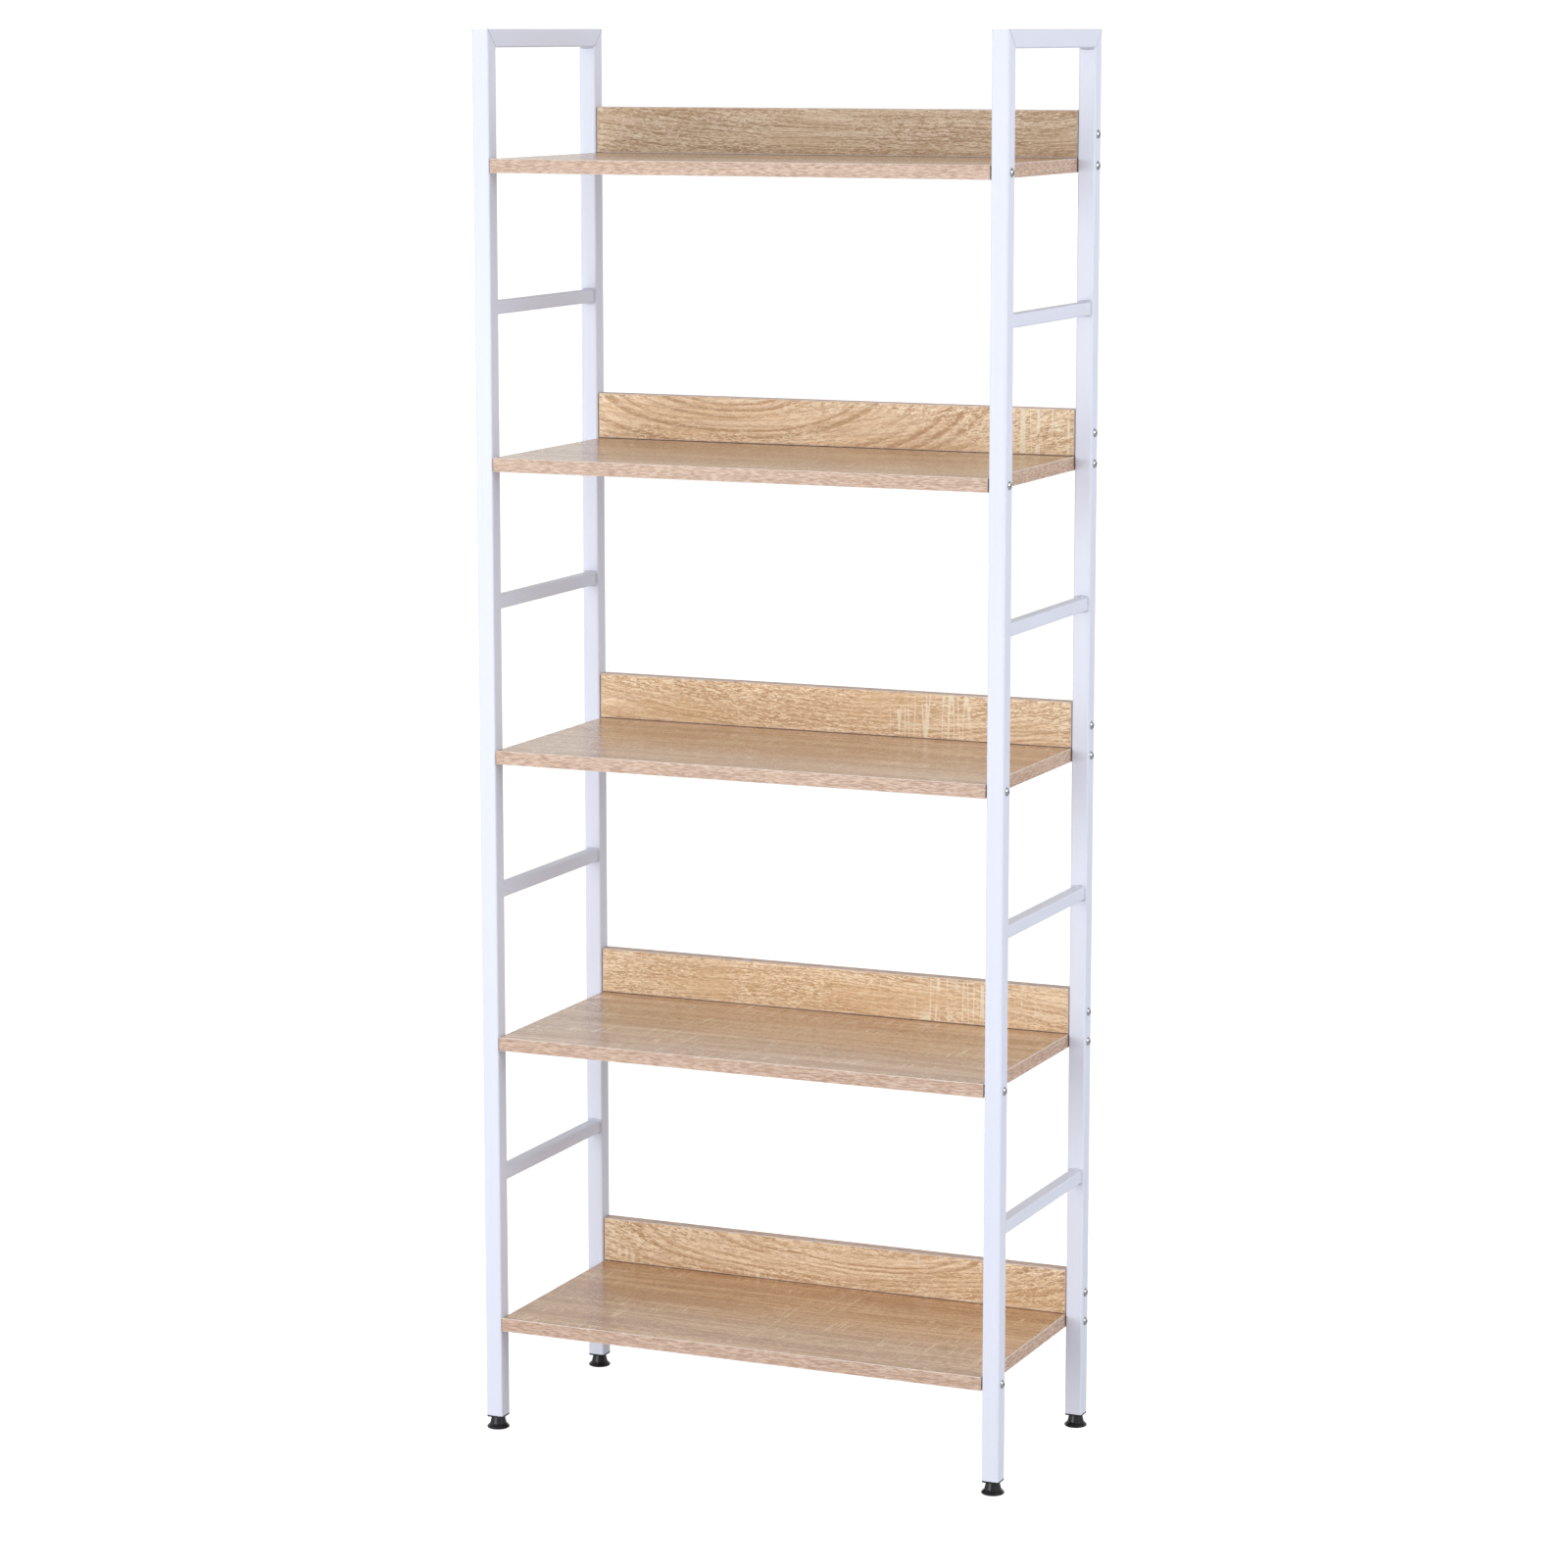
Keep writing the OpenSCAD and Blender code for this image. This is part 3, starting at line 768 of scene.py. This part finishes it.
def bolt_head():
    """Button head about Z with a hexagon socket, its underside at z = 0."""
    shell = Shell()
    angles = [2 * math.pi * i / HEAD_SEGMENTS for i in range(HEAD_SEGMENTS)]

    def circle(radius, z):
        return shell.ring([Vector((radius * math.cos(a), radius * math.sin(a), z)) for a in angles])

    def hexagon(z):
        reach = [SOCKET_APOTHEM / math.cos(a % (math.pi / 3) - math.pi / 6) for a in angles]
        return shell.ring([Vector((r * math.cos(a), r * math.sin(a), z)) for r, a in zip(reach, angles)])

    rows = [circle(HEAD_R - 0.2 * MM, 0.0), circle(HEAD_R - 0.04 * MM, 0.06 * MM),
            circle(HEAD_R, 0.2 * MM), circle(HEAD_R - 0.02 * MM, HEAD_RIM)]
    for step in range(1, DOME_STEPS + 1):
        radius = HEAD_R - 0.02 * MM - (HEAD_R - SOCKET_EDGE) * step / DOME_STEPS
        rows.append(circle(radius, dome_height(radius)))
    rim = dome_height(SOCKET_EDGE)
    rows.append(circle(SOCKET_EDGE - 0.08 * MM, rim - 0.05 * MM))
    rows.append(hexagon(rim - 0.28 * MM))
    rows.append(hexagon(HEAD_H - SOCKET_DEPTH))
    for lower, upper in zip(rows, rows[1:]):
        shell.bridge(lower, upper)
    under = shell.ring([Vector((0, 0, 0))])[0]
    deepest = shell.ring([Vector((0, 0, HEAD_H - SOCKET_DEPTH - 0.35 * MM))])[0]
    shell.fan(rows[0], under, outwards=False)
    shell.fan(rows[-1], deepest)
    return shell


def whole_bolt():
    bolt = bolt_head()
    shank = thread(BOLT_R, BOLT_THREAD_DEPTH, BOLT_PITCH, z_low=-BOLT_LENGTH, z_high=0.9 * MM, columns=18)
    bolt.add(shank, Vector)
    return bolt


def bolt_placer(sx, y, z, spin):
    """Turns a bolt about its axis, lays it along X and puts its head on a post's outer face."""
    turn_cos, turn_sin = math.cos(spin), math.sin(spin)
    face = POST_X + POST_W / 2

    def place(v):
        a = v.x * turn_cos - v.y * turn_sin
        b = v.x * turn_sin + v.y * turn_cos
        return Vector((sx * (face + v.z), y + sx * a, z + b))

    return place


def make_bolts(material):
    bolt = whole_bolt()
    for side, sx in SIDES.items():
        shelf, back = Shell(), Shell()
        for tier in TIERS:
            for end in ENDS.values():
                spin = rng.uniform(0, math.pi)
                shelf.add(bolt, bolt_placer(sx, end * POST_Y, mid_height(f"shelf_board_{tier}"), spin))
            spin = rng.uniform(0, math.pi)
            back.add(bolt, bolt_placer(sx, POST_Y, mid_height(f"back_board_{tier}"), spin))
        for shell, node in ((shelf, f"{side}_shelf_bolts"), (back, f"{side}_back_board_bolts")):
            piece = make_object(f"{node}_threaded", shell.vertices, shell.faces, material)
            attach(piece, "frame")
            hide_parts(node)


# --- Levelling feet ------------------------------------------------------------------------------

# Half section of the moulded base, millimetres: (radius, height, fillet), from the axis round the
# outside and back down the bore to the pocket that holds the stem's head
FOOT_OUTLINE = [
    (0, 0.45, 0), (7.6, 0.45, 0.3), (8.2, 0.0, 0.3), (11.7, 0.0, 0.7), (12.6, 1.2, 0.75),
    (11.5, 2.5, 0.35), (9.0, 5.0, 1.6), (7.15, 12.9, 0.7), (4.5, 12.9, 0.15), (4.06, 12.45, 0.15),
    (4.06, 5.5, 0), (5.6, 5.5, 0), (5.6, 2.5, 0), (0, 2.5, 0),
]
# Half section of the stem's captive head, millimetres
STEM_HEAD_OUTLINE = [
    (0, 2.6, 0), (5.5, 2.6, 0.4), (5.5, 5.4, 0.4), (3.3, 5.4, 0), (3.3, 6.4, 0), (0, 6.4, 0),
]
STEM_R = 4.0 * MM
STEM_PITCH = 1.25 * MM
STEM_THREAD_DEPTH = 0.68 * MM
PLUG_FLANGE_R = 1.9 * MM
PLUG_BORE_R = 4.4 * MM
NUT_POCKET_R = 7.6 * MM
NUT_POCKET_DEPTH = 6.5 * MM
PLUG_INSET = 1.3 * MM      # from a post's outer face in to the plug's body


def in_metres(outline):
    return [(x * MM, z * MM) for x, z in outline]


def at_corner(sx, sy):
    return lambda v: Vector((sx * POST_X + v.x, sy * POST_Y + v.y, v.z))


def foot_base():
    return lathe(in_metres(filleted(FOOT_OUTLINE)), segments=72)


def foot_stem(top):
    shell = lathe(in_metres(filleted(STEM_HEAD_OUTLINE)), segments=48)
    rod = thread(STEM_R, STEM_THREAD_DEPTH, STEM_PITCH, z_low=5.6 * MM, z_high=top, columns=36)
    shell.add(rod, Vector)
    return shell


def plug_ring(shell, half, radius, z):
    return shell.ring(rounded_square(half, radius, z))


def round_ring(shell, like, radius, z):
    """A circle whose points lie in the same directions as the ring like's."""
    directions = [Vector((shell.vertices[i].x, shell.vertices[i].y, 0)).normalized() for i in like]
    return shell.ring([Vector((d.x * radius, d.y * radius, z)) for d in directions])


def end_plug(low, high):
    """Square plug with a flange over the tube's cut end, a bore for the stem and a pocket for its nut."""
    shell = Shell()
    flange, body = POST_W / 2, POST_W / 2 - PLUG_INSET
    pocket_floor = high - NUT_POCKET_DEPTH
    # from the underside up the outside, then down the pocket and the bore
    rows = [plug_ring(shell, flange - 0.5 * MM, PLUG_FLANGE_R - 0.4 * MM, low),
            plug_ring(shell, flange - 0.15 * MM, PLUG_FLANGE_R, low + 0.12 * MM),
            plug_ring(shell, flange, PLUG_FLANGE_R, low + 0.5 * MM),
            plug_ring(shell, flange, PLUG_FLANGE_R, POST_FOOT - 0.25 * MM),
            plug_ring(shell, flange - 0.2 * MM, PLUG_FLANGE_R, POST_FOOT),
            plug_ring(shell, body, 0.75 * MM, POST_FOOT),
            plug_ring(shell, body, 0.75 * MM, high - 1.5 * MM),
            plug_ring(shell, body - 0.3 * MM, 0.7 * MM, high)]
    rows.append(round_ring(shell, rows[0], NUT_POCKET_R, high))
    rows.append(round_ring(shell, rows[0], NUT_POCKET_R, pocket_floor))
    rows.append(round_ring(shell, rows[0], PLUG_BORE_R, pocket_floor))
    rows.append(round_ring(shell, rows[0], PLUG_BORE_R, low + 0.3 * MM))
    rows.append(round_ring(shell, rows[0], PLUG_BORE_R + 0.3 * MM, low))
    for lower, upper in zip(rows, rows[1:] + rows[:1]):
        shell.bridge(lower, upper)
    return shell


def make_feet(foot_material, stem_material, plug_material):
    base = foot_base()
    for side, sx in SIDES.items():
        for end, sy in ENDS.items():
            corner = f"{side}_{end}"
            plug_lo, plug_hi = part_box(f"{corner}_end_plug")
            stem_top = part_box(f"{corner}_foot_stem")[1].z
            parts = [
                ("foot_base", base, foot_material, f"{corner}_foot", "black_foot"),
                ("foot_stem", foot_stem(stem_top), stem_material, f"{corner}_stem", "zinc_stem"),
                ("end_plug", end_plug(plug_lo.z, plug_hi.z), plug_material, "frame", "black_plug"),
            ]
            for part, shape, material, body, slot in parts:
                shell = Shell()
                shell.add(shape, at_corner(sx, sy))
                piece = make_object(f"{corner}_{part}_fine", shell.vertices, shell.faces, material)
                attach(piece, body)
                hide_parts(f"{corner}_{part}")


# --- Stage, lights and camera --------------------------------------------------------------------

FLOOR_HALF = 60.0
FLOOR_GLOW = 0.72          # added for the camera, so that the floor shows as white as the wall
WALL_GLOW = 1.05           # the wall as the camera sees it
LIGHT_OVERHEAD = 0.42      # what the wall gives off overhead, 1 being its strength at the horizon


def make_floor():
    """A plain white floor, lit to paper white, just under the furthest reach of the feet."""
    corners = [(-1, -1), (1, -1), (1, 1), (-1, 1)]
    floor = make_object("floor", [(x * FLOOR_HALF, y * FLOOR_HALF, -FOOT_TRAVEL) for x, y in corners],
                        [[0, 1, 2, 3]], floor_material())


def floor_material():
    """Matt paper, brightened for camera rays only, so that the glow lights nothing."""
    s = Shader("studio_floor")
    paper = s.noise(s.stretched(3, 3, 3), detail=3)
    s.set(Base_Color=s.mix(paper, (0.68, 0.68, 0.685), (0.71, 0.71, 0.715)), Roughness=0.9)
    glow = s.nodes.new("ShaderNodeEmission")
    glow.inputs["Strength"].default_value = FLOOR_GLOW
    seen = s.nodes.new("ShaderNodeAddShader")
    s.links.new(s.surface.outputs[0], seen.inputs[0])
    s.links.new(glow.outputs[0], seen.inputs[1])
    path = s.nodes.new("ShaderNodeLightPath")
    choice = s.nodes.new("ShaderNodeMixShader")
    s.links.new(path.outputs["Is Camera Ray"], choice.inputs[0])
    s.links.new(s.surface.outputs[0], choice.inputs[1])
    s.links.new(seen.outputs[0], choice.inputs[2])
    s.links.new(choice.outputs[0], s.nodes["Material Output"].inputs[0])
    return s.material


def make_world():
    """White studio walls: brightest near the horizon, dimmer overhead."""
    world = bpy.data.worlds.new("studio")
    bpy.context.scene.world = world
    world.use_nodes = True
    nodes, links = world.node_tree.nodes, world.node_tree.links
    room = nodes["Background"]
    direction = nodes.new("ShaderNodeTexCoord").outputs["Generated"]
    split = nodes.new("ShaderNodeSeparateXYZ")
    links.new(direction, split.inputs[0])
    up = map_range(nodes, links, split.outputs[2], low=0.10, high=0.90,
                   to_low=1.0, to_high=LIGHT_OVERHEAD)
    links.new(up, room.inputs["Strength"])
    room.inputs["Color"].default_value = (1.0, 1.0, 1.0, 1.0)
    seen = nodes.new("ShaderNodeBackground")
    seen.inputs["Color"].default_value = (1.0, 1.0, 1.0, 1.0)
    seen.inputs["Strength"].default_value = WALL_GLOW
    path = nodes.new("ShaderNodeLightPath")
    choice = nodes.new("ShaderNodeMixShader")
    links.new(path.outputs["Is Camera Ray"], choice.inputs[0])
    links.new(room.outputs[0], choice.inputs[1])
    links.new(seen.outputs[0], choice.inputs[2])
    links.new(choice.outputs[0], nodes["World Output"].inputs[0])


def map_range(nodes, links, value, low, high, to_low, to_high):
    node = nodes.new("ShaderNodeMapRange")
    node.interpolation_type = "SMOOTHSTEP"
    links.new(value, node.inputs[0])
    for socket, number in zip(node.inputs[1:5], (low, high, to_low, to_high)):
        socket.default_value = number
    return node.outputs[0]


def soft_light(name, place, target, size, radiance):
    """A rectangular soft box that the camera doesn't see, its brightness given by radiance."""
    light = bpy.data.lights.new(name, "AREA")
    light.shape = "RECTANGLE"
    light.size, light.size_y = size
    light.energy = radiance * math.pi * size[0] * size[1]
    obj = bpy.data.objects.new(name, light)
    obj.location = place
    obj.rotation_euler = (Vector(target) - Vector(place)).to_track_quat("-Z", "Y").to_euler()
    obj.visible_camera = False
    bpy.context.scene.collection.objects.link(obj)


def make_lights():
    soft_light("key_front_left", place=(-1.3, -3.3, 1.0), target=(0, 0, 0.75),
               size=(2.2, 2.2), radiance=3.8)
    soft_light("fill_right", place=(2.9, -0.5, 1.7), target=(0.3, 0, 0.9),
               size=(1.2, 1.8), radiance=3.7)


CAMERA_PLACE = (1.913, -4.438, 1.518)
CAMERA_AZIMUTH = 23.36     # degrees, turned left from straight towards +Y
CAMERA_PITCH = 9.42        # degrees below level
CAMERA_LENS = 104.6        # mm on a 36 mm wide sensor


def make_camera():
    data = bpy.data.cameras.new("camera")
    data.lens = CAMERA_LENS
    data.sensor_width = 36.0
    data.clip_start, data.clip_end = 0.1, 150.0
    camera = bpy.data.objects.new("camera", data)
    camera.location = CAMERA_PLACE
    camera.rotation_euler = (math.radians(90 - CAMERA_PITCH), 0, math.radians(CAMERA_AZIMUTH))
    bpy.context.scene.collection.objects.link(camera)
    bpy.context.scene.camera = camera


def set_tone():
    view = bpy.context.scene.view_settings
    view.view_transform = "Standard"
    view.look = "None"
    view.exposure = 0.0
    view.gamma = 1.0


# --- The scene -----------------------------------------------------------------------------------

galvanised = zinc()
paint_frame(powder_coat("powder_coat", 1.0))
paint_boards()
paint_hidden_steel(galvanised)
# the weld beads and mitre seams get copies of the coat darkened with painted shade
make_welds(powder_coat("powder_coat_welds_painted_shade", 0.86), powder_coat("powder_coat_seams_painted_shade", 0.55))
make_bolts(bolt_steel())
make_feet(foot_plastic(), galvanised, plug_plastic())
make_floor()
make_world()
make_lights()
make_camera()
set_tone()
